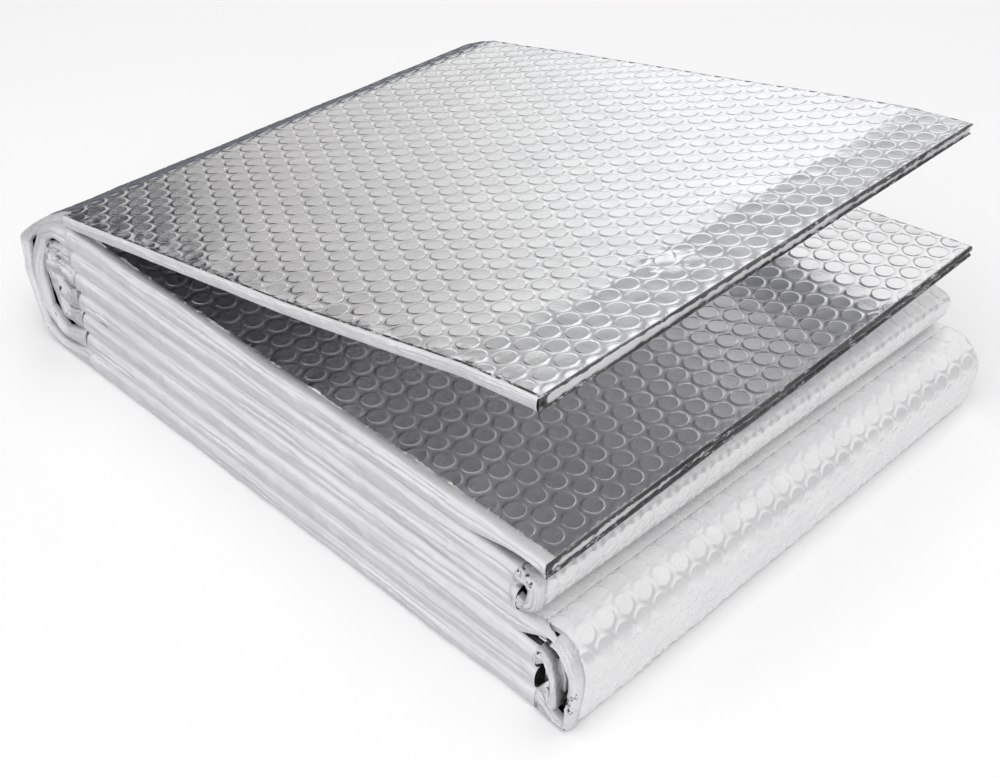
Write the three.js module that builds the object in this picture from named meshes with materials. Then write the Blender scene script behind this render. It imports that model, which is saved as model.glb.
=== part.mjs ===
// Folded reflective bubble-foil sleeping pad, lying folded in eight panels with its top flap lifted.
//
// Millimetres. +X runs from the nested left bends to the free ends, +Y from the lengthwise crease
// side to the open side, +Z up. The origin is the centre of the resting face, on the floor.
//
// The pad is one long strip: a bubble-foil sheet folded once lengthwise, so that each panel has
// two plies, and then folded in half three times. The panels are numbered from the floor up.
// A vertex is first laid out on a stack of equal panels, then settled: the open side of the pile
// sinks a little, because only the lengthwise crease holds the plies apart.

import * as THREE from 'three';

// Overall size of the folded pad
const LENGTH = 405;
const WIDTH = 305;

// One ply: a thin outer foil on a bubble core
const FOIL = 0.4;
const CORE = 2.8;
const FOIL_GAP = 0.4;

// A panel's two plies stand apart in the pile, propped by the crease, and lie close in a loose flap
const PROPPED_GAP = 5;
const CLOSE_GAP = 0.8;

// The pile of panels
const PANELS = 8;
const PANEL_GAP = 0.9;
const SETTLING = 0.2;

// Where the panels end
const BEND_GAP = 0.4;
const BEND_DEPTH = 8;
const INNER_BEND_REACH = 24.5;
const FLAP_SETBACK = 21.5;
const HEM_DEPTH = 3;
const CREASE_DEPTH = 6;

// How far the two loose flaps stand open at their free ends
const TOP_FLAP_LIFT = 68;
const TOP_FLAP_TWIST = 9;
const TOP_FLAP_HOLLOW = 0.18;
const TOP_FLAP_SAG = 4;
const TOP_FLAP_PULL_NEAR = 0.018;
const TOP_FLAP_PULL_FAR = 0.04;
const MIDDLE_FLAP_CURL = 20;

// How finely the curved pieces are divided
const FLAP_STEPS_ALONG = 10;
const FLAP_STEPS_ACROSS = 6;
const BEND_STEPS = 12;

// Worked out from the above
const PLY = FOIL + FOIL_GAP + CORE;
const PANEL = 2 * PLY + PROPPED_GAP;
const PITCH = PANEL + PANEL_GAP;
const HINGE_Z = (PANELS * PITCH - PANEL_GAP) / 2;
const HINGE_X = -LENGTH / 2 + HINGE_Z;
const RIGHT_BEND_Z = 2 * PITCH - PANEL_GAP / 2;
const RIGHT_BEND_X = LENGTH / 2 - RIGHT_BEND_Z;
const INNER_BEND_Z = 5 * PITCH - PANEL_GAP / 2;
const INNER_BEND_X = LENGTH / 2 - INNER_BEND_REACH - PITCH + PANEL_GAP / 2;
const FLAP_TIP = LENGTH / 2 - FLAP_SETBACK;
const NEAR_EDGE = -WIDTH / 2;

const MATERIALS = {
  foil: new THREE.MeshStandardMaterial({ color: 0xc9c9cb, roughness: 0.28, metalness: 0.9 }),
  core: new THREE.MeshStandardMaterial({ color: 0xe6e6e8, roughness: 0.5, metalness: 0.1 }),
  crease: new THREE.MeshStandardMaterial({ color: 0xdedee0, roughness: 0.4, metalness: 0.4 }),
  hem: new THREE.MeshStandardMaterial({ color: 0x3a3c40, roughness: 0.35, metalness: 0.8 }),
};

const pad = new THREE.Group();

function add(name, geometry, material) {
  const mesh = new THREE.Mesh(geometry, MATERIALS[material]);
  mesh.name = name;
  pad.add(mesh);
}

// Height of the pile at this distance across, as a share of its height at the crease side
function settled(y) {
  return 1 - SETTLING * (y / WIDTH + 0.5);
}

// How far a panel stands above its folded place. The outermost left bend goes with the top panel:
// at the crease side its upper half sinks onto the bend inside it.
function lift(panel, x, y, z) {
  const along = Math.max(0, (x - HINGE_X) / (FLAP_TIP - HINGE_X));
  const across = y / WIDTH + 0.5;
  if (panel === PANELS) {
    const hollow = TOP_FLAP_HOLLOW * (1 - across) * along * (1 - along);
    const upward = Math.max(0, z - HINGE_Z) / Math.hypot(Math.min(0, x - HINGE_X), z - HINGE_Z);
    const sag = TOP_FLAP_SAG * (1 - across) * (1 - along) * upward ** 2;
    return (TOP_FLAP_LIFT + TOP_FLAP_TWIST * across) * (along - hollow) - sag;
  }
  if (panel === PANELS - 1) {
    return MIDDLE_FLAP_CURL * across * along ** 2;
  }
  return 0;
}

// How much shorter the lifted top flap reaches than it would lying down
function pullBack(y) {
  return TOP_FLAP_PULL_NEAR + (TOP_FLAP_PULL_FAR - TOP_FLAP_PULL_NEAR) * (y / WIDTH + 0.5);
}

// Moves a solid from the plain pile to where it really lies
function settle(geometry, panel = 0) {
  const position = geometry.getAttribute('position');
  for (let i = 0; i < position.count; i += 1) {
    const x = position.getX(i);
    const y = position.getY(i);
    const z = position.getZ(i);
    const pulled = panel === PANELS ? pullBack(y) * Math.max(0, x - HINGE_X) : 0;
    position.setX(i, x - pulled);
    position.setZ(i, z * settled(y) + lift(panel, x, y, z));
  }
  geometry.computeVertexNormals();
  return geometry;
}

function slab(panel, x0, x1, y0, y1, z0, z1) {
  const loose = panel >= PANELS - 1;
  const along = loose && x1 - x0 > HEM_DEPTH ? FLAP_STEPS_ALONG : 1;
  const across = loose ? FLAP_STEPS_ACROSS : 1;
  const geometry = new THREE.BoxGeometry(x1 - x0, y1 - y0, z1 - z0, along, across, 1);
  geometry.translate((x0 + x1) / 2, (y0 + y1) / 2, (z0 + z1) / 2);
  return settle(geometry, panel);
}

// Rounded edge where the sheet is folded lengthwise, along one panel's crease side
function sideCrease(panel, x0, x1, bottom, top) {
  const half = (top - bottom) / 2;
  const section = new THREE.Shape();
  section.moveTo(0, -half);
  section.lineTo(0, half);
  section.lineTo(CREASE_DEPTH * 0.5, half * 0.92);
  section.lineTo(CREASE_DEPTH, half * 0.4);
  section.lineTo(CREASE_DEPTH, -half * 0.4);
  section.lineTo(CREASE_DEPTH * 0.5, -half * 0.92);
  const steps = panel >= PANELS - 1 ? FLAP_STEPS_ALONG : 1;
  const geometry = new THREE.ExtrudeGeometry(section, { depth: x1 - x0, steps, bevelEnabled: false });
  // The section's own x points to the crease side, its y up, and it is drawn out along +X
  const toPad = new THREE.Matrix4().makeBasis(
    new THREE.Vector3(0, -1, 0),
    new THREE.Vector3(0, 0, 1),
    new THREE.Vector3(-1, 0, 0),
  );
  geometry.applyMatrix4(toPad);
  geometry.translate(x1, NEAR_EDGE + CREASE_DEPTH, bottom + half);
  return settle(geometry, panel);
}

// Half ring that joins two panels; side -1 bulges to the left and +1 to the right
function bend(centreX, centreZ, nest, side) {
  const outer = PANEL_GAP / 2 + PANEL + nest * PITCH;
  const inner = outer - BEND_DEPTH;
  const section = new THREE.Shape();
  section.absarc(0, 0, outer, -Math.PI / 2, Math.PI / 2, false);
  section.lineTo(0, inner);
  section.absarc(0, 0, inner, Math.PI / 2, -Math.PI / 2, true);
  const across = { depth: WIDTH, curveSegments: BEND_STEPS, bevelEnabled: false };
  const geometry = new THREE.ExtrudeGeometry(section, across);
  geometry.rotateX(Math.PI / 2);
  if (side < 0) geometry.rotateZ(Math.PI);
  geometry.translate(centreX, side < 0 ? -WIDTH / 2 : WIDTH / 2, centreZ);
  return settle(geometry, nest === PANELS / 2 - 1 ? PANELS : 0);
}

function panelEnd(panel) {
  if (panel >= PANELS - 1) return FLAP_TIP;
  return panel > PANELS / 2 ? INNER_BEND_X : RIGHT_BEND_X;
}

function addPanel(panel) {
  const name = `panel_${panel}`;
  const free = panel >= PANELS - 1;
  const top = panel * PITCH - PANEL_GAP;
  const bottom = top - 2 * PLY - (free ? CLOSE_GAP : PROPPED_GAP);
  const left = HINGE_X + BEND_GAP;
  const right = panelEnd(panel) - BEND_GAP;
  const near = NEAR_EDGE + CREASE_DEPTH + BEND_GAP;
  const far = WIDTH / 2;
  const skinEnd = free ? right - HEM_DEPTH : right;
  const skins = [
    ['lower_foil', 'foil', bottom, bottom + FOIL],
    ['lower_core', 'core', bottom + PLY - CORE, bottom + PLY],
    ['upper_core', 'core', top - PLY, top - PLY + CORE],
    ['upper_foil', 'foil', top - FOIL, top],
  ];
  for (const [skin, material, low, high] of skins) {
    add(`${name}_${skin}`, slab(panel, left, skinEnd, near, far, low, high), material);
  }
  add(`${name}_side_crease`, sideCrease(panel, left, right, bottom, top), 'crease');
  if (free) {
    const start = skinEnd + BEND_GAP;
    add(`${name}_lower_hem`, slab(panel, start, right, near, far, bottom, bottom + PLY), 'hem');
    add(`${name}_upper_hem`, slab(panel, start, right, near, far, top - PLY, top), 'hem');
  }
}

for (let panel = 1; panel <= PANELS; panel += 1) addPanel(panel);

// The nested left bends join the panels above and below the middle of the pile
for (let nest = 0; nest < PANELS / 2; nest += 1) {
  const name = `left_bend_${PANELS / 2 - nest}_${PANELS / 2 + 1 + nest}`;
  add(name, bend(HINGE_X, HINGE_Z, nest, -1), 'crease');
}

// The right bends: two nested ones in the lower half, one in the inner leaf
add('right_bend_2_3', bend(RIGHT_BEND_X, RIGHT_BEND_Z, 0, 1), 'crease');
add('right_bend_1_4', bend(RIGHT_BEND_X, RIGHT_BEND_Z, 1, 1), 'foil');
add('right_bend_5_6', bend(INNER_BEND_X, INNER_BEND_Z, 0, 1), 'foil');

export default pad;
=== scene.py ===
"""Looks of the folded reflective bubble-foil sleeping pad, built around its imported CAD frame.

Metres, in the CAD frame: +X runs from the nested left bends to the free ends, +Y from the
lengthwise crease side to the open side, +Z up.

Every surface is laid out by its length along a path in the plane of the crease side (s), its
place across the pad (y) and its height over the path (h), and is then put where it really lies.
"""
import math

import bpy
import numpy as np
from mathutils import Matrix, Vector


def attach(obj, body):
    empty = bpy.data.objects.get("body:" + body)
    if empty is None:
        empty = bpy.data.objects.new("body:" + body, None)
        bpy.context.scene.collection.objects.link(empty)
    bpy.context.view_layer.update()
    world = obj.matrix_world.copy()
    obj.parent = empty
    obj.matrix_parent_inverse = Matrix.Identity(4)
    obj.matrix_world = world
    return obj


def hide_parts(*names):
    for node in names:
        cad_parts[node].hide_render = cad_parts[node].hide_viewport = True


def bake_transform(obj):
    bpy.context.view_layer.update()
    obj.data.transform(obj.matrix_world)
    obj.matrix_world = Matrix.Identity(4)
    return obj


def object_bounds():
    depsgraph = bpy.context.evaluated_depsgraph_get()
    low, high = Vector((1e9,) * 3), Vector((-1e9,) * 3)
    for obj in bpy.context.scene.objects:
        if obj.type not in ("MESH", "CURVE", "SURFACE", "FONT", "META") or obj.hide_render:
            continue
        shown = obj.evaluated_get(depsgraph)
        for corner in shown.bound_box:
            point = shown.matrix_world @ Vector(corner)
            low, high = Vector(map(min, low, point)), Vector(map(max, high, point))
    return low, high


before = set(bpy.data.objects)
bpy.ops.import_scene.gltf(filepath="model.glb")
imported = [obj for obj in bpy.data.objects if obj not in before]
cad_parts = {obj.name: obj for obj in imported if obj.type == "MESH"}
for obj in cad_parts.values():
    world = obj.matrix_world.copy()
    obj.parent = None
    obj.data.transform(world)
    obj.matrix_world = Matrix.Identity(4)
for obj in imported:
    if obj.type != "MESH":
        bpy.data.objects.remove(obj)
CAD_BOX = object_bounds()

# ---------------------------------------------------------------- sizes, as in the CAD model
LOW, HIGH = (np.array(corner) for corner in CAD_BOX)
NEAR, FAR = LOW[1], HIGH[1]
WIDTH = FAR - NEAR
SETTLING = 0.2
PANELS = 8
PANEL_GAP = 0.0009
PANEL_DEPTH = 0.0122
FLAP_DEPTH = 0.008
PLY = 0.0036
CREASE_DEPTH = 0.0064
CREASE_CLEARANCE = 0.0003
PITCH = PANEL_DEPTH + PANEL_GAP
HINGE_Z = (PANELS * PITCH - PANEL_GAP) / 2
HINGE_X = LOW[0] + HINGE_Z
RIGHT_BEND_Z = 2 * PITCH - PANEL_GAP / 2
RIGHT_BEND_X = HIGH[0] - RIGHT_BEND_Z
INNER_BEND_Z = 5 * PITCH - PANEL_GAP / 2
INNER_BEND_X = HIGH[0] - 0.0245 - INNER_BEND_Z + 4 * PITCH
FLAP_TIP = HIGH[0] - 0.0215

# The top flap stands open: how high its tip is lifted, how much higher at the far side, how hollow
# it is along its length, how far it sags at the bend, and how thick it is.
TOP_LIFT = 0.068
TOP_TWIST = 0.009
TOP_HOLLOW = 0.18
TOP_SAG = 0.0046
TOP_DEPTH = 0.0070
# The share of its length that it loses by being bent, at its near and far side.
PULL_NEAR = 0.018
PULL_FAR = 0.040
# Its tip droops beyond a slanting line, given by where it crosses the near and the far side.
DROOP_NEAR = 0.138
DROOP_FAR = 0.150
DROOP_SLOPE = 0.10
DROOP_RISE = 0.0040
DROOP_SOFTNESS = 0.003
DROOP_WANDER = 0.005
DROOP_CREASES = 0.0005
DROOP_CREASE_REACH = 0.016
MIDDLE_CURL = 0.020
FLAP_WAVE = 0.0006

# The boundaries inside the pile wander a little, most at the crease side.
RIPPLE_FROM, RIPPLE_TO = 0.135, 0.165
RIPPLE_SIDE = 0.0008
RIPPLE_BASE = 0.0002

# ---------------------------------------------------------------- the bubble foil
BUBBLE_PITCH = 0.012
ROW = BUBBLE_PITCH * math.sqrt(3) / 2
BUBBLE_TOP = 0.0044
BUBBLE_RIM = 0.0047
BUBBLE_FOOT = 0.0050
BUBBLE_RISE = 0.00024
FOIL = 0.0004
# How far the foil is crumpled along the crease and over the bends, and the plies are uneven.
CRUMPLE = 0.0005
BEND_CRUMPLE = 0.0003
PLY_UNEVEN = 0.0003
CUT_UNEVEN = 0.0004

BODY_OF = {1: "lower_stack", 2: "lower_stack", 3: "lower_stack", 4: "lower_stack",
           5: "inner_leaf", 6: "inner_leaf", 7: "middle_leaf", 8: "top_leaf"}
CHAIN = ["lower_stack", "inner_leaf", "middle_leaf", "top_leaf"]


# ---------------------------------------------------------------- small maths
def smooth(low, high, value):
    t = np.clip((value - low) / (high - low), 0, 1)
    return t * t * (3 - 2 * t)


def noise(x, y, size_x, size_y, seed):
    """Smooth noise from -1 to 1, with features about size_x by size_y."""
    cells = 61
    grid = np.random.RandomState(seed).uniform(-1, 1, (cells, cells))
    u, v = np.broadcast_arrays(np.asarray(x) / size_x + 23.37, np.asarray(y) / size_y + 37.71)
    i, j = np.floor(u).astype(int), np.floor(v).astype(int)
    f, g = smooth(0, 1, u - i), smooth(0, 1, v - j)
    i0, i1, j0, j1 = i % cells, (i + 1) % cells, j % cells, (j + 1) % cells
    return ((grid[i0, j0] * (1 - f) + grid[i1, j0] * f) * (1 - g)
            + (grid[i0, j1] * (1 - f) + grid[i1, j1] * f) * g)


def folds(x, y, size_x, size_y, seed):
    """Sharp-edged wrinkles from -1 to 1: ridges where smooth noise crosses zero."""
    return 1 - 2 * np.abs(noise(x, y, size_x, size_y, seed)) ** 0.7


class Path:
    """A line in the plane of the crease side, followed by its length; its normal is to its left."""

    def __init__(self, points, start=0.0, lifted_with=0):
        self.lifted_with = lifted_with
        points = np.array(points, float)
        moved = np.hypot(*np.diff(points, axis=0).T) > 1e-7
        self.points = points[np.concatenate([[True], moved])]
        steps = np.hypot(*np.diff(self.points, axis=0).T)
        self.s = start + np.concatenate([[0], np.cumsum(steps)])
        self.start, self.end = self.s[0], self.s[-1]
        along = np.gradient(self.points, self.s, axis=0)
        along /= np.linalg.norm(along, axis=1)[:, None]
        self.normal = np.stack([-along[:, 1], along[:, 0]], 1)

    def at(self, s, h):
        take = lambda values: np.interp(s, self.s, values)
        return (take(self.points[:, 0]) + take(self.normal[:, 0]) * h,
                take(self.points[:, 1]) + take(self.normal[:, 1]) * h)


def rounded(corners, radius, turns=8):
    """The corners as a smooth outline: each inner one becomes an arc-like curve."""
    corners = np.array(corners, float)
    out = [corners[0]]
    for before, here, after in zip(corners, corners[1:], corners[2:]):
        reach = min(radius, np.linalg.norm(here - before) / 2, np.linalg.norm(after - here) / 2)
        a = here + (before - here) / np.linalg.norm(before - here) * reach
        b = here + (after - here) / np.linalg.norm(after - here) * reach
        for t in np.linspace(0, 1, turns):
            out.append(a * (1 - t) ** 2 + here * 2 * t * (1 - t) + b * t ** 2)
    out.append(corners[-1])
    return np.array(out)


# ---------------------------------------------------------------- where things lie
def settled(y):
    return 1 - SETTLING * ((y - NEAR) / WIDTH)


def lift(panel, x, y, z):
    """How far a loose flap stands above its folded place; the outermost left bend goes with it."""
    along = np.maximum(0, (x - HINGE_X) / (FLAP_TIP - HINGE_X))
    across = (y - NEAR) / WIDTH
    if panel == PANELS:
        hollow = TOP_HOLLOW * (1 - across) * along * (1 - along)
        upward = np.maximum(0, z - HINGE_Z) / np.hypot(np.minimum(0, x - HINGE_X), z - HINGE_Z)
        sag = TOP_SAG * (1 - across) * (1 - along) * upward ** 2
        wave = FLAP_WAVE * noise(x, y, 0.06, 0.09, 3) * smooth(0, 0.1, along)
        line = DROOP_NEAR + (DROOP_FAR - DROOP_NEAR) * across
        line = line + DROOP_WANDER * noise(0, y, 1, 0.05, 14)
        beyond = x - line
        droop = DROOP_SLOPE * (beyond + np.hypot(beyond, DROOP_SOFTNESS)) / 2
        slant, cross = (x + y) * 0.7, (y - x) * 0.7
        creased = DROOP_CREASES * folds(slant, cross, 0.045, 0.007, 12)
        creased = creased * np.exp(-(beyond / DROOP_CREASE_REACH) ** 2)
        creased = creased * smooth(-0.2, 0.3, noise(slant, cross, 0.03, 0.03, 15)) * (1 - across)
        rise = DROOP_RISE * (1 - across) * along
        raised = (TOP_LIFT + TOP_TWIST * across) * (along - hollow) - sag
        return raised + wave + rise - droop + creased
    if panel == PANELS - 1:
        wave = FLAP_WAVE * noise(x, y, 0.07, 0.08, 4) * smooth(0, 0.2, along)
        return MIDDLE_CURL * across * along ** 2 + wave
    return 0 * x


def ripple(level, x, y):
    """How far the boundary over a panel of the pile wanders from even."""
    if level in (0, PANELS - 1, PANELS):
        return 0 * x
    inside = smooth(HINGE_X, HINGE_X + 0.03, x) * (1 - smooth(RIPPLE_FROM, RIPPLE_TO, x))
    edge = np.exp(-(y - NEAR) / 0.03)
    return inside * (RIPPLE_SIDE * edge + RIPPLE_BASE) * noise(x, y, 0.05, 0.4, 10 + level)


def panel_top(panel):
    return panel * PITCH - PANEL_GAP


def panel_depth(panel):
    return {PANELS: TOP_DEPTH, PANELS - 1: FLAP_DEPTH}.get(panel, PANEL_DEPTH)


def panel_end(panel):
    if panel >= PANELS - 1:
        return FLAP_TIP
    return INNER_BEND_X if panel > PANELS / 2 else RIGHT_BEND_X


def place(path, s, y, h, panel=0):
    """Points of the pad for places on a path; panel 0 is a bend."""
    s, y, h = np.broadcast_arrays(s, y, h)
    x, z = path.at(s, h)
    if panel:
        bottom = panel_top(panel) - panel_depth(panel)
        share = np.clip((z - bottom) / panel_depth(panel), 0, 1)
        z = z + ripple(panel - 1, x, y) * (1 - share) + ripple(panel, x, y) * share
    loose = panel or path.lifted_with
    up = lift(loose, x, y, z)
    if loose == PANELS:
        shorter = PULL_NEAR + (PULL_FAR - PULL_NEAR) * (y - NEAR) / WIDTH
        x = x - shorter * np.maximum(0, x - HINGE_X)
    return np.stack([x, y, z * settled(y) + up], -1)


def upper_path(panel, start=0.0):
    z = panel_top(panel)
    return Path([(HINGE_X, z), (panel_end(panel), z)], start)


def lower_path(panel, start=0.0):
    z = panel_top(panel) - panel_depth(panel)
    return Path([(panel_end(panel), z), (HINGE_X, z)], start)


# ---------------------------------------------------------------- mesh builders
def make_mesh(name, points, groups, materials):
    """groups are (faces, flat, material index), with faces an array of triangles or quads."""
    mesh = bpy.data.meshes.new(name)
    mesh.vertices.add(len(points))
    mesh.vertices.foreach_set("co", np.asarray(points, np.float32).ravel())
    groups = [g for g in groups if len(g[0])]
    sizes = np.concatenate([np.full(len(f), f.shape[1]) for f, _, _ in groups])
    mesh.loops.add(int(sizes.sum()))
    mesh.loops.foreach_set("vertex_index", np.concatenate([f.ravel() for f, _, _ in groups]))
    mesh.polygons.add(len(sizes))
    starts = np.concatenate([[0], np.cumsum(sizes)[:-1]])
    mesh.polygons.foreach_set("loop_start", starts)
    mesh.polygons.foreach_set("loop_total", sizes)
    slots = np.concatenate([np.full(len(f), m) for f, _, m in groups])
    mesh.polygons.foreach_set("material_index", slots)
    flat = np.concatenate([np.full(len(f), flat, bool) for f, flat, _ in groups])
    mesh.update(calc_edges=True)
    mesh.polygons.foreach_set("use_smooth", ~flat)
    for material in materials:
        mesh.materials.append(material)
    mesh.validate()
    piece = bpy.data.objects.new(name, mesh)
    bpy.context.scene.collection.objects.link(piece)
    return piece


def crisp(piece):
    """Shades each flat as flat, so that only the rims of the bubbles turn the light."""
    modifier = piece.modifiers.new("crisp", "WEIGHTED_NORMAL")
    modifier.weight = 80
    modifier.keep_sharp = False
    graph = bpy.context.evaluated_depsgraph_get()
    finished = bpy.data.meshes.new_from_object(piece.evaluated_get(graph), depsgraph=graph)
    piece.modifiers.clear()
    piece.data = finished
    return piece


def bubble_distance(s, y):
    """Distance to the nearest bubble's centre; bubbles lie in close-packed rows across the pad."""
    nearest = np.full(np.broadcast(s, y).shape, 1.0)
    for step in (-1, 0, 1):
        row = np.round(s / ROW) + step
        shift = (row % 2) * BUBBLE_PITCH / 2
        centre = np.round((y - shift) / BUBBLE_PITCH) * BUBBLE_PITCH + shift
        nearest = np.minimum(nearest, np.hypot(s - row * ROW, y - centre))
    return nearest


def bubble_rise(s, y):
    """0 between the bubbles and 1 on their raised rims, with a flat disc inside each rim."""
    r = bubble_distance(s, y)
    disc = 1 - smooth(BUBBLE_RIM, BUBBLE_FOOT, r)
    rim = 0.2 * smooth(BUBBLE_TOP, BUBBLE_RIM, r)
    puffed = 1 + 0.2 * noise(s, y, 0.011, 0.011, 5)
    return disc * puffed * (0.75 + rim)


def hex_cells(s0, s1, y0, y1, fine):
    """Vertices and triangles of the six-sided cells round the bubbles, trimmed to a rectangle."""
    sides = 24 if fine else 12
    rings = [BUBBLE_TOP, BUBBLE_RIM, BUBBLE_FOOT] if fine else []
    angle = np.arange(sides) * 2 * math.pi / sides
    sixth = math.pi / 3
    border = BUBBLE_PITCH / 2 / np.cos(angle % sixth - sixth / 2)
    loops = [np.full(sides, r) for r in rings] + [border]
    local = [np.zeros((1, 2))]
    local += [np.stack([r * np.cos(angle), r * np.sin(angle)], 1) for r in loops]
    local = np.concatenate(local)

    centres = []
    for row in range(math.floor(s0 / ROW) - 1, math.ceil(s1 / ROW) + 2):
        shift = (row % 2) * BUBBLE_PITCH / 2
        first = math.floor((y0 - shift) / BUBBLE_PITCH) - 1
        last = math.ceil((y1 - shift) / BUBBLE_PITCH) + 1
        centres += [(row * ROW, i * BUBBLE_PITCH + shift) for i in range(first, last + 1)]
    centres = np.array(centres)
    reach = BUBBLE_PITCH / math.sqrt(3)
    inside = ((centres[:, 0] > s0 - reach) & (centres[:, 0] < s1 + reach)
              & (centres[:, 1] > y0 - reach) & (centres[:, 1] < y1 + reach))
    centres = centres[inside]
    whole = ((centres[:, 0] > s0 + reach) & (centres[:, 0] < s1 - reach)
             & (centres[:, 1] > y0 + reach) & (centres[:, 1] < y1 - reach))

    m = np.arange(sides)
    after = (m + 1) % sides
    full = [np.stack([0 * m, 1 + m, 1 + after], 1)]
    for ring in range(len(rings)):
        a, b = 1 + ring * sides, 1 + (ring + 1) * sides
        full.append(np.stack([a + m, b + m, b + after], 1))
        full.append(np.stack([a + m, b + after, a + after], 1))
    full = np.concatenate(full)
    outer = 1 + len(rings) * sides
    fan = np.stack([0 * m, outer + m, outer + after], 1)

    flat = (centres[:, None, :] + local[None]).reshape(-1, 2)
    flat[:, 0] = np.clip(flat[:, 0], s0, s1)
    flat[:, 1] = np.clip(flat[:, 1], y0, y1)
    keys = np.round(flat * 1e6).astype(np.int64)
    _, first, index = np.unique(keys, axis=0, return_index=True, return_inverse=True)
    points, index = flat[first], index.reshape(-1)
    base = np.arange(len(centres))[:, None, None] * len(local)
    top = index[(base + full[None]).reshape(-1, 3)]
    under = index[np.concatenate([(base[~whole] + full[None]).reshape(-1, 3),
                                  (base[whole] + fan[None]).reshape(-1, 3)])]
    return points, clean(points, top), clean(points, under)


def clean(points, triangles):
    """Leaves out the triangles that trimming made flat."""
    a, b, c = (points[triangles[:, k]] for k in range(3))
    area = (b[:, 0] - a[:, 0]) * (c[:, 1] - a[:, 1]) - (b[:, 1] - a[:, 1]) * (c[:, 0] - a[:, 0])
    return triangles[np.abs(area) > 1e-12]


def outline(triangles):
    """The edges that only one triangle has, in that triangle's direction."""
    edges = np.concatenate([triangles[:, [0, 1]], triangles[:, [1, 2]], triangles[:, [2, 0]]])
    key = np.sort(edges, 1)
    _, index, count = np.unique(key, axis=0, return_inverse=True, return_counts=True)
    return edges[count[index.reshape(-1)] == 1]


def bubble_sheet(name, path, s0, s1, y0, y1, materials, panel=0, depth=None, fine=True,
                 strength=1.0):
    """A foil with raised bubbles on the side of the path's normal. depth is how thick it is."""
    points, top, under = hex_cells(s0, s1, y0, y1, fine)
    s, y = points[:, 0], points[:, 1]
    free = path.end if path.normal[0, 1] > 0 else path.start
    flat_end = smooth(0.0015, 0.006, np.abs(s - free)) if panel >= PANELS - 1 else 1
    from_crease = y - y0
    puff = smooth(-0.001, 0.006, from_crease) * flat_end * strength
    rise = BUBBLE_RISE * (0.25 * strength + 0.75 * puff) * bubble_rise(s, y) - BUBBLE_RISE
    crumple = CRUMPLE * folds(s, y, 0.009, 0.007, 6) * np.exp(-from_crease / 0.006)
    crumple = crumple + CRUMPLE * noise(s, y, 0.02, 0.03, 7) * np.exp(-from_crease / 0.04)
    if not panel:
        inside = smooth(0, 0.012, s - path.start) * smooth(0, 0.012, path.end - s)
        crumple = crumple + BEND_CRUMPLE * inside * folds(s, y, 0.014, 0.05, 13)
    outer = place(path, s, y, rise + crumple, panel)
    inner = place(path, s, y, -(depth or BUBBLE_RISE + FOIL), panel)
    count = len(points)
    rim = outline(top)
    wall = np.stack([rim[:, 1], rim[:, 0], rim[:, 0] + count, rim[:, 1] + count], 1)
    groups = [(top, False, 0), (under[:, ::-1] + count, False, 0), (wall, True, len(materials) - 1)]
    piece = make_mesh(name, np.concatenate([outer, inner]), groups, materials)
    return crisp(piece) if panel else piece


def grid_faces(rows, columns):
    i, j = np.meshgrid(np.arange(rows - 1), np.arange(columns - 1), indexing="ij")
    a = (i * columns + j).ravel()
    return np.stack([a, a + columns, a + columns + 1, a + 1], 1)


def slab(name, path, s_values, y_values, top, bottom, materials, panel=0):
    """A closed layer between two heights over a path, with slightly uneven cut edges."""
    s, y = np.meshgrid(s_values, y_values, indexing="ij")
    out = noise(s, y, 0.003, 1, 7) * CUT_UNEVEN * smooth(FAR - 0.004, FAR, y)
    rows, columns = s.shape
    heights = [h(s, y) if callable(h) else np.full(s.shape, h) for h in (top, bottom)]
    layers = [place(path, s, y + out, h, panel).reshape(-1, 3) for h in heights]
    faces = grid_faces(rows, columns)
    count = rows * columns
    rim = np.concatenate([np.arange(columns), np.arange(1, rows) * columns + columns - 1,
                          count - 2 - np.arange(columns - 1),
                          np.arange(rows - 2, 0, -1) * columns])
    after = np.roll(rim, -1)
    wall = np.stack([rim, after, after + count, rim + count], 1)
    groups = [(faces, False, 0), (faces[:, ::-1] + count, False, 0), (wall, True, 0)]
    return make_mesh(name, np.concatenate(layers), groups, materials)


def swept(name, rings, materials, slots=None, flat=False):
    """A closed body through rings of points, with flat ends. slots picks each face's material."""
    count, sides = rings.shape[:2]
    i, j = np.meshgrid(np.arange(count - 1), np.arange(sides), indexing="ij")
    a, b = (i * sides + j).ravel(), (i * sides + (j + 1) % sides).ravel()
    faces = np.stack([a, b, b + sides, a + sides], 1)
    picks = np.zeros((1, sides), int) if slots is None else np.array(slots, int)
    picks = np.broadcast_to(picks, (count - 1, sides)).ravel()
    groups = [(faces[picks == k], flat, k) for k in np.unique(picks)]
    last = (count - 1) * sides
    fan = np.arange(1, sides - 1)
    groups.append((np.stack([0 * fan, fan + 1, fan], 1), True, int(picks[0])))
    groups.append((np.stack([0 * fan + last, fan + last, fan + 1 + last], 1), True, int(picks[0])))
    return make_mesh(name, rings.reshape(-1, 3), groups, materials)


# Each groove of a crease: its share of the way round, and how deep it is as a share of the bulge.
GROOVES = ((0.24, 0.16), (0.47, 0.30), (0.72, 0.20))
GROOVE_WIDTH = 0.026
CREASE_SIDES = 32
CREASE_OVERLAP = 0.0004
WRINKLES_LONG = 0.00032
WRINKLES_SHORT = 0.00016
WISP_LENGTH = 0.004
DEEPEST_WRINKLE = 0.0015


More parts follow.
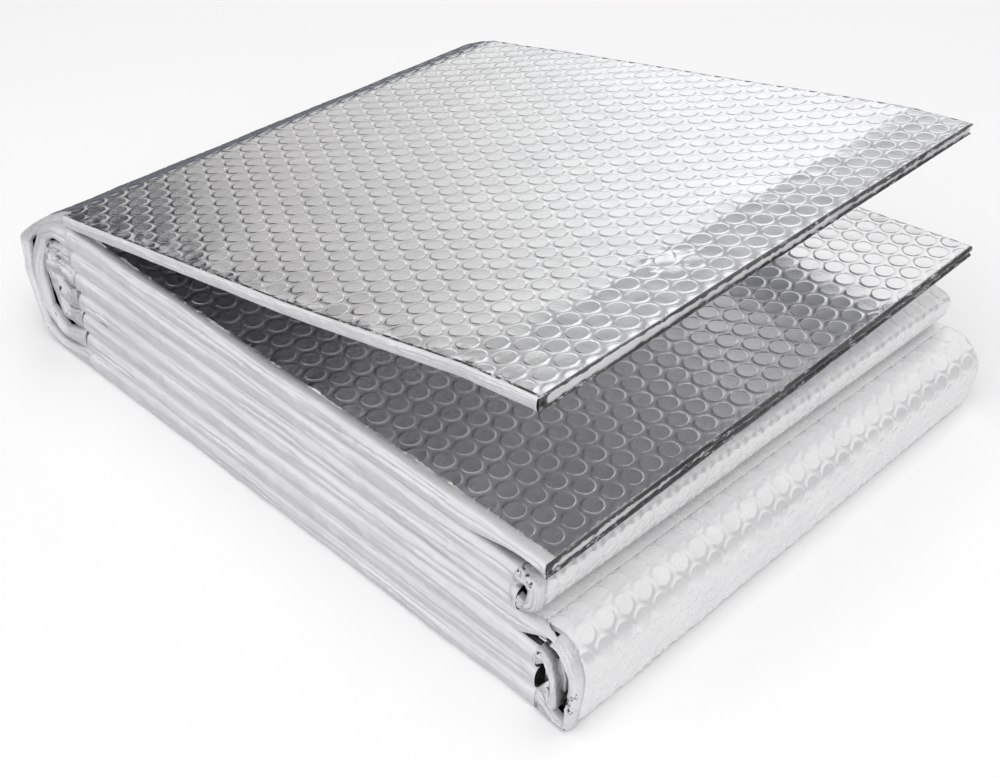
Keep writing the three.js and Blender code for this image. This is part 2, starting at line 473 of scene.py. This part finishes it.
def crease(name, path, s0, s1, thick, materials, panel=0, seed=0, crumpled=0.0, fade=None,
           step=0.0008, reach=CREASE_DEPTH, blend_in=0.008, grooves=1.0):
    """The rounded edge where the sheet is folded lengthwise, bulging towards the crease side.

    Grooves split it into soft bands that wander along it, and it flattens in places.
    """
    s = np.linspace(s0, s1, max(4, int((s1 - s0) / step)))[:, None]
    turn = np.linspace(0, 1, CREASE_SIDES)[None, :]
    depth = thick(s) if callable(thick) else thick
    first, last = fade or (s0, s1)
    free = smooth(0, blend_in, s - first) * smooth(0, blend_in, last - s)

    bulge = np.sin(math.pi * turn) ** 0.45 + 0 * s
    for k, (middle, deepest) in enumerate(GROOVES):
        at = middle + 0.10 * noise(s, 0, 0.055, 1, 20 + 3 * seed + k)
        deep = deepest * smooth(-0.5, 0.6, noise(s, 0, 0.045, 1, 120 + 3 * seed + k))
        bulge = bulge - grooves * free * deep * np.exp(-np.abs(turn - at) / GROOVE_WIDTH)
    bulge = bulge + grooves * free * 0.08 * noise(s, turn, 0.035, 0.5, 60 + seed)

    across = np.sin(math.pi * turn)
    fine = WRINKLES_LONG * folds(s, turn, 0.035, 0.13, 80 + seed)
    fine = fine + WRINKLES_SHORT * folds(s, turn, 0.005, 0.25, 90 + seed)
    fine = fine + crumpled * folds(s, turn, 0.013, 0.6, 100 + seed)
    fine = fine + crumpled * 0.4 * folds(s, turn, 0.0045, 0.4, 110 + seed)
    deep_in = reach(s) if callable(reach) else reach
    y = NEAR + deep_in + CREASE_OVERLAP - (deep_in + CREASE_OVERLAP) * np.clip(bulge, 0, 1.1)
    y = np.maximum(y - free * across * fine, NEAR - DEEPEST_WRINKLE)
    wisps = np.maximum(0, noise(s, 0, 0.0012, 1, 130 + seed) - 0.35)
    wisps = wisps * (1 + noise(s, 0, 0.02, 1, 135 + seed))
    y = y + free * WISP_LENGTH * wisps * np.exp(-turn / 0.02) * (panel != PANELS)
    h = -depth * (1 - np.cos(math.pi * turn)) / 2
    h = h + free * crumpled * 0.6 * noise(s, turn, 0.008, 0.5, 140)
    # Painted shade: the crease's lower edge, and the upper edge of panels 1, 2, 3 and 5 where the
    # panel above covers it, take the dark lining colour; the top flap's upper edge takes the seam's
    # painted shade flecks.
    covered = (turn < 0.05) & (panel in (1, 2, 3, 5))
    slots = np.where((turn > 0.96) | covered, 1, 0)
    if panel == PANELS:
        slots = np.where(turn < 0.05, 2, slots)
    return swept(name, place(path, s + 0 * turn, y, h - BUBBLE_RISE * 0.6, panel), materials,
                 slots)


# ---------------------------------------------------------------- materials
def node_material(name, metallic, roughness):
    material = bpy.data.materials.new(name)
    material.use_nodes = True
    nodes, links = material.node_tree.nodes, material.node_tree.links
    shader = nodes["Principled BSDF"]
    shader.inputs["Metallic"].default_value = metallic
    shader.inputs["Roughness"].default_value = roughness
    place_at = nodes.new("ShaderNodeTexCoord")
    return material, nodes, links, shader, place_at.outputs["Object"]


def mapped(nodes, links, source, scale):
    mapping = nodes.new("ShaderNodeMapping")
    mapping.inputs["Scale"].default_value = scale
    links.new(source, mapping.inputs["Vector"])
    return mapping.outputs["Vector"]


def noise_node(nodes, links, source, scale, detail=3.0, roughness=0.55):
    made = nodes.new("ShaderNodeTexNoise")
    made.inputs["Scale"].default_value = scale
    made.inputs["Detail"].default_value = detail
    made.inputs["Roughness"].default_value = roughness
    links.new(source, made.inputs["Vector"])
    return made.outputs["Fac"]


def ramp(nodes, links, source, stops):
    made = nodes.new("ShaderNodeValToRGB")
    elements = made.color_ramp.elements
    while len(elements) < len(stops):
        elements.new(0.5)
    for element, (position, color) in zip(elements, stops):
        element.position = position
        element.color = (*color, 1)
    links.new(source, made.inputs["Fac"])
    return made.outputs["Color"]


def grey(value):
    return (value, value, value * 1.01)


def bump(nodes, links, shader, height, distance, strength):
    made = nodes.new("ShaderNodeBump")
    made.inputs["Distance"].default_value = distance
    made.inputs["Strength"].default_value = strength
    links.new(height, made.inputs["Height"])
    links.new(made.outputs["Normal"], shader.inputs["Normal"])


CRINKLE_HEIGHT = 0.0006


def film_material(name, low, high, rough_low, rough_high, metallic, crinkle, streak=(1, 1.7, 1.3)):
    """Aluminised film: cloudy brightness and gloss, and fine crinkles."""
    material, nodes, links, shader, source = node_material(name, metallic, rough_low)
    cloud = noise_node(nodes, links, mapped(nodes, links, source, streak), 38.0, 5.0, 0.6)
    links.new(ramp(nodes, links, cloud, [(0.3, low), (0.7, high)]), shader.inputs["Base Color"])
    gloss = noise_node(nodes, links, source, 90.0, 4.0)
    rough = ramp(nodes, links, gloss, [(0.35, grey(rough_low)), (0.7, grey(rough_high))])
    links.new(rough, shader.inputs["Roughness"])
    wrinkles = noise_node(nodes, links, mapped(nodes, links, source, streak), 420.0, 4.0, 0.65)
    bump(nodes, links, shader, wrinkles, CRINKLE_HEIGHT, crinkle)
    return material


def flecked(material, scale, color, low, high):
    """Adds hard-edged flecks of one colour to a film as painted light: dark flecks paint shade and
    dark reflections in its crinkles, light flecks paint bright reflections.
    """
    nodes, links = material.node_tree.nodes, material.node_tree.links
    shader = nodes["Principled BSDF"]
    base = shader.inputs["Base Color"].links[0].from_socket
    place_at = nodes.new("ShaderNodeTexCoord").outputs["Object"]
    spots = noise_node(nodes, links, mapped(nodes, links, place_at, scale), 1.0, 4.0, 0.7)
    fleck = ramp(nodes, links, spots, [(low, (1, 1, 1)), (high, (0, 0, 0))])
    mix = nodes.new("ShaderNodeMix")
    mix.data_type = "RGBA"
    links.new(fleck, mix.inputs["Factor"])
    links.new(base, mix.inputs["A"])
    mix.inputs["B"].default_value = (*color, 1)
    links.new(mix.outputs["Result"], shader.inputs["Base Color"])
    return material


FOIL_LOOK = film_material("bright_foil", (0.86, 0.87, 0.885), (0.93, 0.94, 0.95), 0.10, 0.19, 1.0,
                          0.08)
# Painted shade: a darker copy of the bright foil for the upper side of the middle flap, which lies
# under the open top flap.
PAINTED_SHADE_LOOK = film_material("painted_shade_foil", (0.79, 0.79, 0.80), (0.85, 0.85, 0.855), 0.10, 0.17,
                            1.0, 0.06)
# Painted shade: a darker copy of the bright foil for the underside of the top flap, which faces
# into the shade between the flaps.
UNDER_SHADE_LOOK = film_material("painted_shade_under_foil", (0.82, 0.82, 0.83), (0.88, 0.88, 0.885), 0.10, 0.16, 1.0,
                           0.05)
# A rougher, less metallic copy of the bright foil for the outer plies of the right bends and the
# top of panel 4; its lighter colour is painted light for these brightly lit surfaces.
WRAP_LIGHT_LOOK = film_material("wrapped_foil_painted_light", (0.91, 0.91, 0.915), (0.98, 0.98, 0.98), 0.24, 0.34, 0.35,
                          0.15)
CREASE_LOOK = film_material("white_crease", grey(0.86), grey(0.97), 0.36, 0.52, 0.45, 0.35,
                            (0.35, 1.7, 2.2))
# Painted shade: dark flecks on the crumpled creases of the outer two left bends stand for the shade
# and dark reflections in their folds.
CRUMPLED_SHADE_LOOK = flecked(film_material("crumpled_crease_painted_shade", grey(0.86), grey(0.97), 0.32, 0.5, 0.5,
                                      0.5), (230, 200, 230), grey(0.05), 0.29, 0.33)
# Painted shade: dark flecks on the creases of the right bends and the inner two left bends stand
# for the shade and dark reflections in their crumples.
SPECKED_SHADE_LOOK = flecked(film_material("crease_painted_dark_specks", grey(0.82), grey(0.96), 0.24, 0.42, 0.6,
                                  0.8), (150, 130, 120), grey(0.04), 0.33, 0.38)
# Painted shade: dark flecks along the upper edge of the top flap's crease stand for the shade in
# its small wrinkles.
SEAM_SHADE_LOOK = flecked(film_material("seam_painted_shade", grey(0.80), grey(0.95), 0.25, 0.4, 0.6, 0.5),
                    (210, 700, 700), grey(0.04), 0.52, 0.60)
CORE_LOOK = film_material("bubble_core", grey(0.80), grey(0.92), 0.30, 0.45, 0.0, 0.3)
# Painted shade: a dark copy of the film for the inner plies of the bends and the crease edges
# tucked under the panels, where only shade and dark reflections are seen.
SHADE_LINING_LOOK = film_material("painted_shade_lining", grey(0.02), grey(0.22), 0.22, 0.40, 1.0, 0.6)
# Painted reflections: the cut edge's dark colour and its light flecks stand for the dark and bright
# surroundings that its end face reflects.
HEM_REFLECTION_LOOK = flecked(film_material("cut_edge", grey(0.03), grey(0.13), 0.30, 0.45, 0.3, 0.3,
                                 (1, 0.6, 2.5)), (520, 150, 700), grey(0.60), 0.37, 0.43)


# ---------------------------------------------------------------- attaching a piece to its body
def stand_in(piece, slot, *nodes, body=None, cloth=None):
    """Attaches the piece to its body and hides the CAD parts it stands for; cloth, the flat size of
    a sheet, is not used.
    """
    if body:
        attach(piece, body)
    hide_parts(*nodes)
    return piece


Y_FOIL = NEAR + CREASE_DEPTH
TOP_CREASE = 0.0024
ACROSS = np.linspace(Y_FOIL, FAR, 60)
# The panels whose upper or lower foil can be seen, and so has real bubbles.
SHOWN_UPPER = {4, 6, 7, 8}
SHOWN_LOWER = {1, 5, 7, 8}
# How much shorter a flap's foil and core are than its cut end.
FOIL_SHORTER = 0.0004
CORE_SHORTER = 0.0002


def spread(a, b, step):
    return np.linspace(a, b, max(3, int(round((b - a) / step)) + 1))


def foil(panel, side, start):
    """One outer foil of a panel; start is where its bubbles continue from."""
    upper = side == "upper"
    path = (upper_path if upper else lower_path)(panel, start)
    shown = panel in (SHOWN_UPPER if upper else SHOWN_LOWER)
    s0, s1 = path.start, path.end
    if panel >= PANELS - 1:
        s0, s1 = (s0, s1 - FOIL_SHORTER) if upper else (s0 + FOIL_SHORTER, s1)
    name = f"panel_{panel}_{side}_foil"
    near = NEAR + TOP_CREASE if panel == PANELS else Y_FOIL
    strength = {(8, "lower"): 0.15, (7, "upper"): 1.7}.get((panel, side), 1.0)
    # The middle flap's upper side and the top flap's underside take darker copies of the foil as
    # painted shade; panel 4's upper side takes the lightened wrap foil as painted light.
    look = {(4, "upper"): WRAP_LIGHT_LOOK, (7, "upper"): PAINTED_SHADE_LOOK,
            (8, "lower"): UNDER_SHADE_LOOK}.get((panel, side), FOIL_LOOK)
    if shown:
        piece = bubble_sheet(name, path, s0, s1, near, FAR, [look], panel, strength=strength)
    else:
        along = spread(s0, s1, 0.006)
        piece = slab(name, path, along, ACROSS, -BUBBLE_RISE * 0.5, -BUBBLE_RISE - FOIL,
                     [FOIL_LOOK], panel)
    stand_in(piece, "bright_foil", name, body=BODY_OF[panel], cloth=(FAR - near, s1 - s0))


def core(panel, side):
    upper = side == "upper"
    path = (upper_path if upper else lower_path)(panel)
    s0, s1 = path.start, path.end
    if panel >= PANELS - 1:
        s0, s1 = (s0, s1 - CORE_SHORTER) if upper else (s0 + CORE_SHORTER, s1)
    name = f"panel_{panel}_{side}_core"
    piece = slab(name, path, spread(s0, s1, 0.006), ACROSS, -BUBBLE_RISE - FOIL - 0.0001,
                 lambda s, y: -PLY + PLY_UNEVEN * noise(s, y, 0.006, 0.006, 8), [CORE_LOOK], panel)
    stand_in(piece, "bubble_core", name, body=BODY_OF[panel])


# The slits that show over a panel's crease, the long one over the inner leaf, and the least
# thickness where a crease tapers off.
SLIT_DEPTH = 0.0016
LEAF_SLIT = 0.0013
TIP_THICK = 0.0012


def side_crease(panel):
    """Fills the panel's own depth and the gap over it, but for a few slits."""
    path = upper_path(panel)
    flap = panel >= PANELS - 1
    deep = (TOP_DEPTH if panel == PANELS else PITCH) - CREASE_CLEARANCE
    tip = path.end
    if panel == PANELS // 2:
        bend = ring_path(RIGHT_BEND_X, RIGHT_BEND_Z, RIGHT_SHAPES["1_4"], 1, RIGHT_CORNER)
        path = Path(np.concatenate([path.points, bend]))
        tip = tip + TIP_REACH

    def thick(s):
        x = path.at(s, 0)[0]
        free = smooth(0, 0.01, s - path.start) * smooth(0, 0.01, tip - s)
        slit = SLIT_DEPTH * free * smooth(0.55, 0.95, noise(s, 0, 0.03, 1, 150 + panel))
        full = deep - slit * (panel < PANELS)
        if panel == 5:
            full = full - LEAF_SLIT * smooth(0.05, 0.09, x) * (1 - smooth(0.135, 0.142, x))
        if panel == PANELS - 1:
            full = full + (FLAP_DEPTH - deep - TIP_THICK) * smooth(0.132, 0.168, x)
        if panel == PANELS // 2:
            past = s - (panel_end(panel) - HINGE_X)
            full = TIP_THICK + (full - TIP_THICK) * (1 - smooth(-0.016, TIP_REACH, past))
        return full

    name = f"panel_{panel}_side_crease"
    crumpled = 0.0001 if flap else 0.00015
    grooves = 0.4 if panel == PANELS else 1.0

    def reach(s):
        if panel == PANELS:
            return TOP_CREASE
        pointed = smooth(-0.014, 0, s - tip) * (panel == PANELS // 2)
        return CREASE_DEPTH * (1 - 0.65 * pointed)

    piece = crease(name, path, path.start, tip, thick, [CREASE_LOOK, SHADE_LINING_LOOK, SEAM_SHADE_LOOK],
                   panel, panel, crumpled, step=0.0005 if flap else 0.0008, reach=reach,
                   grooves=grooves)
    stand_in(piece, "white_crease", name, body=BODY_OF[panel])


# A path for a hem runs on this far past the panel's end, so that the hem can stand out from it.
HEM_ROOM = 0.01
HEM_BULGE = 0.0008
HEM_CURL = 0.0022
HEM_THICK = 0.0004
HEM_LEAST = 0.0004
HEM_CLEAR = 0.0001
HEM_WAVE = 0.0005
HEM_TEAR = 0.0007
HEM_SWAY = 0.0004
HEM_FRAY = 0.0003
# How far down or up each torn film reaches over the cut end, at its near and far end.
HEM_WIDTHS = {(8, "upper"): (0.0009, 0.0022), (8, "lower"): (0.0008, 0.0012),
              (7, "upper"): (0.0024, 0.0046), (7, "lower"): (0.0018, 0.0034)}


def hem(panel, side):
    """The ragged film along the cut edge of one ply at a flap's free end, painted dark with light
    flecks as painted reflections.
    """
    upper = side == "upper"
    z = panel_top(panel) - (0 if upper else panel_depth(panel))
    ends = [(HINGE_X, z), (panel_end(panel) + HEM_ROOM, z)]
    path = Path(ends if upper else ends[::-1])
    end = path.end - HEM_ROOM if upper else path.start + HEM_ROOM
    out = 1 if upper else -1
    y = np.arange(NEAR + 0.0008, FAR, 0.0005)[:, None]
    turn = np.linspace(0, 1, 12)[None, :]
    across = (y - NEAR) / WIDTH
    tear = noise(y, 0, 0.0024, 1, 200 + panel) + 0.6 * noise(y, 0, 0.0008, 1, 210 + panel)
    wave = noise(y, 0, 0.03, 1, 220 + panel + 10 * upper)
    near, far = HEM_WIDTHS[panel, side]
    wide = near + (far - near) * smooth(0.1, 0.5, across)
    curl = HEM_CURL * (1 - smooth(0.001, 0.006, y - NEAR))
    depth = wide + curl + HEM_WAVE * wave + HEM_TEAR * tear * turn
    h = HEM_CLEAR - np.maximum(HEM_LEAST, depth) * turn
    reach = HEM_BULGE * np.sin(math.pi * turn) + HEM_SWAY * wave * turn
    reach = np.maximum(HEM_CLEAR, reach + HEM_FRAY * tear * turn ** 2)
    reach = reach * smooth(-0.001, 0.003, y - NEAR)
    outer = place(path, end + out * (reach + HEM_THICK), y, h, panel)
    inner = place(path, end + out * reach, y, h - HEM_THICK / 2, panel)
    rings = np.concatenate([outer, inner[:, ::-1]], 1)
    if upper:
        rings = rings[:, ::-1]
    name = f"panel_{panel}_{side}_hem"
    piece = swept(name, rings, [HEM_REFLECTION_LOOK], flat=True)
    stand_in(piece, "cut_edge", name, body=BODY_OF[panel])


# ---------------------------------------------------------------- bends
def ring_path(centre_x, centre_z, shape, side, corner):
    """Outline of a bend from its own points, given by angle and radius about its centre."""
    angles, radii = np.array(shape, float).T
    points = np.stack([centre_x + side * radii * np.cos(np.radians(angles)),
                       centre_z + radii * np.sin(np.radians(angles))], 1)
    return rounded(points, corner)


# Angle from level and distance from the bend's centre, for each nested bend from the inside out.
LEFT_SHAPES = [
    [(-90, 0.01265), (-60, 0.0175), (-28, 0.0270), (0, 0.0315), (22, 0.0300), (48, 0.0190),
     (90, 0.01265)],
    [(-90, 0.02575), (-52, 0.0345), (-14, 0.0300), (10, 0.0290), (32, 0.0330), (52, 0.0290),
     (90, 0.02575)],
    [(-90, 0.03885), (-62, 0.0475), (-38, 0.0530), (-9, 0.0455), (8, 0.0425), (38, 0.0400),
     (66, 0.0385), (90, 0.03885)],
    [(-90, 0.05195), (-60, 0.0595), (-45, 0.0640), (-13, 0.0548), (14, 0.0531), (57, 0.0448),
     (76, 0.0478), (90, 0.05195)],
]
LEFT_THICK = [0.0115, 0.0088, 0.0080, 0.0060]
LEFT_CORNER = 0.004
RIGHT_CORNER = 0.005
TIP_REACH = 0.011
RIGHT_SHAPES = {
    "1_4": [(90, 0.02575), (69, 0.0291), (43, 0.0268), (22, 0.0250), (-15, 0.0230), (-46, 0.0285),
            (-53, 0.0318), (-62, 0.0290), (-90, 0.02575)],
    "2_3": [(90, 0.01265), (55, 0.0135), (25, 0.0105), (0, 0.0112), (-30, 0.0132), (-52, 0.0182),
            (-60, 0.0216), (-68, 0.0205), (-80, 0.0145), (-90, 0.01265)],
    "5_6": [(90, 0.01265), (40, 0.0150), (-5, 0.0112), (-42, 0.0130), (-90, 0.01265)],
}


def bend_piece(name, node, path, s0, s1, ends, middle, fine, seed, body=None, blend=None,
               crumpled=0.0006, crease_from=0.0, near=Y_FOIL, look=WRAP_LIGHT_LOOK,
               edge_look=SPECKED_SHADE_LOOK):
    """A stretch of a bend: outer ply with bubbles, inner ply, and the crease at its near end."""
    span = path.end - path.start

    def thick(s):
        share = (s - path.start) / span
        pinch = smooth(0, 0.16, share) * (1 - smooth(0.84, 1, share))
        full = ends[0] + (ends[1] - ends[0]) * share
        return full + (middle * (1 + 0.15 * noise(s, 0, 0.012, 1, seed)) - full) * pinch

    cloth = (FAR - near, s1 - s0)
    outer = bubble_sheet(f"{name}_outer", path, s0, s1, near, FAR, [look, CORE_LOOK],
                         depth=PLY * 0.8, fine=fine, strength=0.7)
    # Painted shade: the inner ply takes the dark lining colour.
    inner = slab(f"{name}_inner", path, spread(s0, s1, 0.002), ACROSS,
                 lambda s, y: -thick(s) + PLY * 0.7 + PLY_UNEVEN * noise(s, y, 0.008, 0.02, 9),
                 lambda s, y: -thick(s), [SHADE_LINING_LOOK])
    edge = crease(f"{name}_crease", path, s0 + crease_from, s1, thick,
                  [edge_look, SHADE_LINING_LOOK], seed=seed, crumpled=crumpled,
                  fade=(path.start, path.end), step=0.0005, blend_in=0.005,
                  reach=near - NEAR)
    for piece, slot in ((outer, "bright_foil"), (inner, "bubble_core"), (edge, "white_crease")):
        stand_in(piece, slot, node, body=body, cloth=cloth if piece is outer else None)
        if blend:
            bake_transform(piece)


def left_bend(nest):
    low, high = PANELS // 2 - nest, PANELS // 2 + 1 + nest
    node = f"left_bend_{low}_{high}"
    points = ring_path(HINGE_X, HINGE_Z, LEFT_SHAPES[nest], -1, LEFT_CORNER)
    length = Path(points).end
    outermost = nest == PANELS // 2 - 1
    path = Path(points, -length, PANELS if outermost else 0)
    strips = max(1, nest)
    stops = [-90 + 180 * k / strips for k in range(strips + 1)]
    angle = np.degrees(np.arctan2(path.points[:, 1] - HINGE_Z, -(path.points[:, 0] - HINGE_X)))
    places = np.interp(stops, angle, path.s)
    inner_end = PITCH - CREASE_CLEARANCE
    ends = (inner_end, TOP_DEPTH - CREASE_CLEARANCE if outermost else inner_end)
    for k in range(strips):
        s0, s1 = places[k], places[k + 1]
        middle_y = (NEAR + FAR) / 2
        start, end = place(path, np.array([s0, s1]), middle_y, 0.0)
        bend_piece(f"{node}_strip_{k + 1}", node, path, s0, s1, ends, LEFT_THICK[nest],
                   outermost, 20 + 3 * nest,
                   blend=(CHAIN[k], CHAIN[k + 1], tuple(start), tuple(end)),
                   crumpled=0.0002 if nest > 1 else 0.0005, look=FOIL_LOOK,
                   edge_look=CRUMPLED_SHADE_LOOK if nest > 1 else SPECKED_SHADE_LOOK)


def right_bend(pair, centre_x, centre_z, start, middle, fine):
    node = f"right_bend_{pair}"
    points = ring_path(centre_x, centre_z, RIGHT_SHAPES[pair], 1, RIGHT_CORNER)
    path = Path(points, start)
    ends = (PITCH - CREASE_CLEARANCE, PITCH - CREASE_CLEARANCE)
    bend_piece(node, node, path, path.start, path.end, ends, middle, fine, 40 + int(pair[0]),
               body=BODY_OF[int(pair[0])], crease_from=TIP_REACH * 0.9 * (pair == "1_4"))
    return path.end


def build_pad():
    lower_run = RIGHT_BEND_X - HINGE_X
    inner_run = INNER_BEND_X - HINGE_X
    right_bend("2_3", RIGHT_BEND_X, RIGHT_BEND_Z, 0.0, 0.0050, False)
    lower_start = right_bend("1_4", RIGHT_BEND_X, RIGHT_BEND_Z, lower_run, 0.0048, True)
    inner_start = right_bend("5_6", INNER_BEND_X, INNER_BEND_Z, inner_run, 0.0070, True)
    for nest in range(PANELS // 2):
        left_bend(nest)
    for panel in range(1, PANELS + 1):
        foil(panel, "upper", 0.0)
        foil(panel, "lower", {1: lower_start, 5: inner_start}.get(panel, 0.0))
        core(panel, "upper")
        core(panel, "lower")
        side_crease(panel)
        if panel >= PANELS - 1:
            hem(panel, "upper")
            hem(panel, "lower")


build_pad()


# ---------------------------------------------------------------- the studio
FLOOR_REACH = 6.0
FLOOR_DROP = 0.0002
CAMERA_AT = (0.4811, -0.4804, 0.5462)
CAMERA_LENS = 58.4
CAMERA_LOOKS_DOWN, CAMERA_TURN = 39.5, 44.7
SOFTBOX_AT = (0.2, -0.3, 1.6)
SOFTBOX_SIZE = (1.6, 1.6)
SOFTBOX_POWER = 18


def build_floor():
    mesh = bpy.data.meshes.new("studio_floor")
    far = FLOOR_REACH
    corners = [(-far, -far, 0), (far, -far, 0), (far, far, 0), (-far, far, 0)]
    mesh.from_pydata(corners, [], [(0, 1, 2, 3)])
    floor = bpy.data.objects.new("studio_floor", mesh)
    bpy.context.scene.collection.objects.link(floor)
    floor.location.z = -FLOOR_DROP
    material, _, _, shader, _ = node_material("studio_floor", 0.0, 0.6)
    shader.inputs["Base Color"].default_value = (1, 1, 1, 1)
    mesh.materials.append(material)
    floor.visible_glossy = False


def area_light(name, location, target, size, power):
    data = bpy.data.lights.new(name, "AREA")
    data.shape = "RECTANGLE"
    data.size, data.size_y = size
    data.energy = power
    light = bpy.data.objects.new(name, data)
    bpy.context.scene.collection.objects.link(light)
    light.location = location
    aim = np.array(target, float) - np.array(location, float)
    light.visible_glossy = False
    light.rotation_euler = Vector(aim).to_track_quat("-Z", "Y").to_euler()


def sky_math(nodes, links, operation, first, second, clamp=False):
    made = nodes.new("ShaderNodeMath")
    made.operation = operation
    made.use_clamp = clamp
    for socket, value in zip(made.inputs, (first, second)):
        if isinstance(value, (int, float)):
            socket.default_value = value
        else:
            links.new(value, socket)
    return made.outputs[0]


def sky_step(nodes, links, source, low, high):
    made = nodes.new("ShaderNodeMapRange")
    made.interpolation_type = "SMOOTHSTEP"
    made.inputs["From Min"].default_value = low
    made.inputs["From Max"].default_value = high
    links.new(source, made.inputs["Value"])
    return made.outputs["Result"]


# The room's walls, by how far a direction faces the dim side: even, bright, then falling off fast.
HORIZON = [(0.0, (0.80, 0.80, 0.80)), (0.50, (0.95, 0.95, 0.95)), (0.70, (1.12, 1.12, 1.12)),
           (0.76, (1.05, 1.05, 1.05)), (0.81, (0.89, 0.89, 0.88)), (0.85, (0.72, 0.71, 0.70)),
           (0.89, (0.58, 0.56, 0.55)), (0.911, (0.48, 0.47, 0.46)), (0.924, (0.07, 0.07, 0.08))]
HIGH_BAND = (0.40, 0.40, 0.40)
CEILING = (0.34, 0.34, 0.35)
GROUND = (0.78, 0.78, 0.79)
DIM_GROUND = (0.16, 0.17, 0.19)
DARK_CORNER = (0.05, 0.05, 0.06)
DIM_SIDE, CORNER_SIDE = 175, 30


def build_world():
    """A bright room that is dim behind and to the left: low down, and in a band higher up."""
    world = bpy.data.worlds.new("studio")
    bpy.context.scene.world = world
    world.use_nodes = True
    nodes, links = world.node_tree.nodes, world.node_tree.links
    background = nodes["Background"]
    place_at = nodes.new("ShaderNodeTexCoord")
    split = nodes.new("ShaderNodeSeparateXYZ")
    links.new(place_at.outputs["Generated"], split.inputs[0])
    level = nodes.new("ShaderNodeVectorMath")
    level.operation = "MULTIPLY"
    level.inputs[1].default_value = (1, 1, 0)
    links.new(place_at.outputs["Generated"], level.inputs[0])
    unit = nodes.new("ShaderNodeVectorMath")
    unit.operation = "NORMALIZE"
    links.new(level.outputs[0], unit.inputs[0])

    def facing(azimuth):
        """How far a direction, seen from above, faces the given azimuth."""
        made = nodes.new("ShaderNodeVectorMath")
        made.operation = "DOT_PRODUCT"
        angle = math.radians(azimuth)
        made.inputs[1].default_value = (math.cos(angle), math.sin(angle), 0)
        links.new(unit.outputs[0], made.inputs[0])
        return made.outputs["Value"]

    def both(first, second):
        return sky_math(nodes, links, "MULTIPLY", first, second)

    def mix(first, second, share):
        made = nodes.new("ShaderNodeMix")
        made.data_type = "RGBA"
        links.new(share, made.inputs["Factor"])
        for socket, value in ((made.inputs["A"], first), (made.inputs["B"], second)):
            if isinstance(value, tuple):
                socket.default_value = (*value, 1)
            else:
                links.new(value, socket)
        return made.outputs["Result"]

    side, height = facing(DIM_SIDE), split.outputs["Z"]
    horizon = ramp(nodes, links, side, HORIZON)
    high_left = both(sky_step(nodes, links, height, 0.22, 0.28),
                     sky_step(nodes, links, height, 0.42, 0.38))
    high_left = both(high_left, sky_step(nodes, links, side, 0.50, 0.58))
    ceiling = sky_step(nodes, links, height, 0.70, 0.78)
    below = sky_step(nodes, links, height, 0.01, -0.05)
    below_back = both(below, sky_step(nodes, links, side, 0.1, 0.5))
    edge = both(sky_step(nodes, links, height, -0.30, -0.05),
                sky_step(nodes, links, facing(CORNER_SIDE), 0.80, 0.92))
    edge = both(edge, sky_step(nodes, links, height, 0.45, 0.25))

    color = mix(horizon, HIGH_BAND, high_left)
    color = mix(color, CEILING, ceiling)
    color = mix(color, GROUND, below)
    color = mix(color, DIM_GROUND, below_back)
    color = mix(color, DARK_CORNER, edge)
    links.new(color, background.inputs["Color"])
    background.inputs["Strength"].default_value = 1.0

    seen = nodes.new("ShaderNodeBackground")
    seen.inputs["Color"].default_value = (1, 1, 1, 1)
    rays = nodes.new("ShaderNodeLightPath")
    choose = nodes.new("ShaderNodeMixShader")
    links.new(rays.outputs["Is Camera Ray"], choose.inputs[0])
    links.new(background.outputs[0], choose.inputs[1])
    links.new(seen.outputs[0], choose.inputs[2])
    links.new(choose.outputs[0], nodes["World Output"].inputs["Surface"])


def build_camera():
    data = bpy.data.cameras.new("camera")
    data.sensor_width = 36.0
    data.lens = CAMERA_LENS
    data.clip_start = 0.01
    camera = bpy.data.objects.new("camera", data)
    bpy.context.scene.collection.objects.link(camera)
    camera.location = CAMERA_AT
    down, turn = math.radians(CAMERA_LOOKS_DOWN), math.radians(CAMERA_TURN)
    camera.rotation_euler = (math.pi / 2 - down, 0, turn)
    bpy.context.scene.camera = camera


build_floor()
build_world()
area_light("top_softbox", SOFTBOX_AT, (0, 0, 0), SOFTBOX_SIZE, SOFTBOX_POWER)
build_camera()
# Light reaches the eye from between the leaves after many mirror reflections.
bpy.context.scene.cycles.max_bounces = 16
bpy.context.scene.cycles.glossy_bounces = 14
bpy.context.scene.view_settings.view_transform = "Standard"
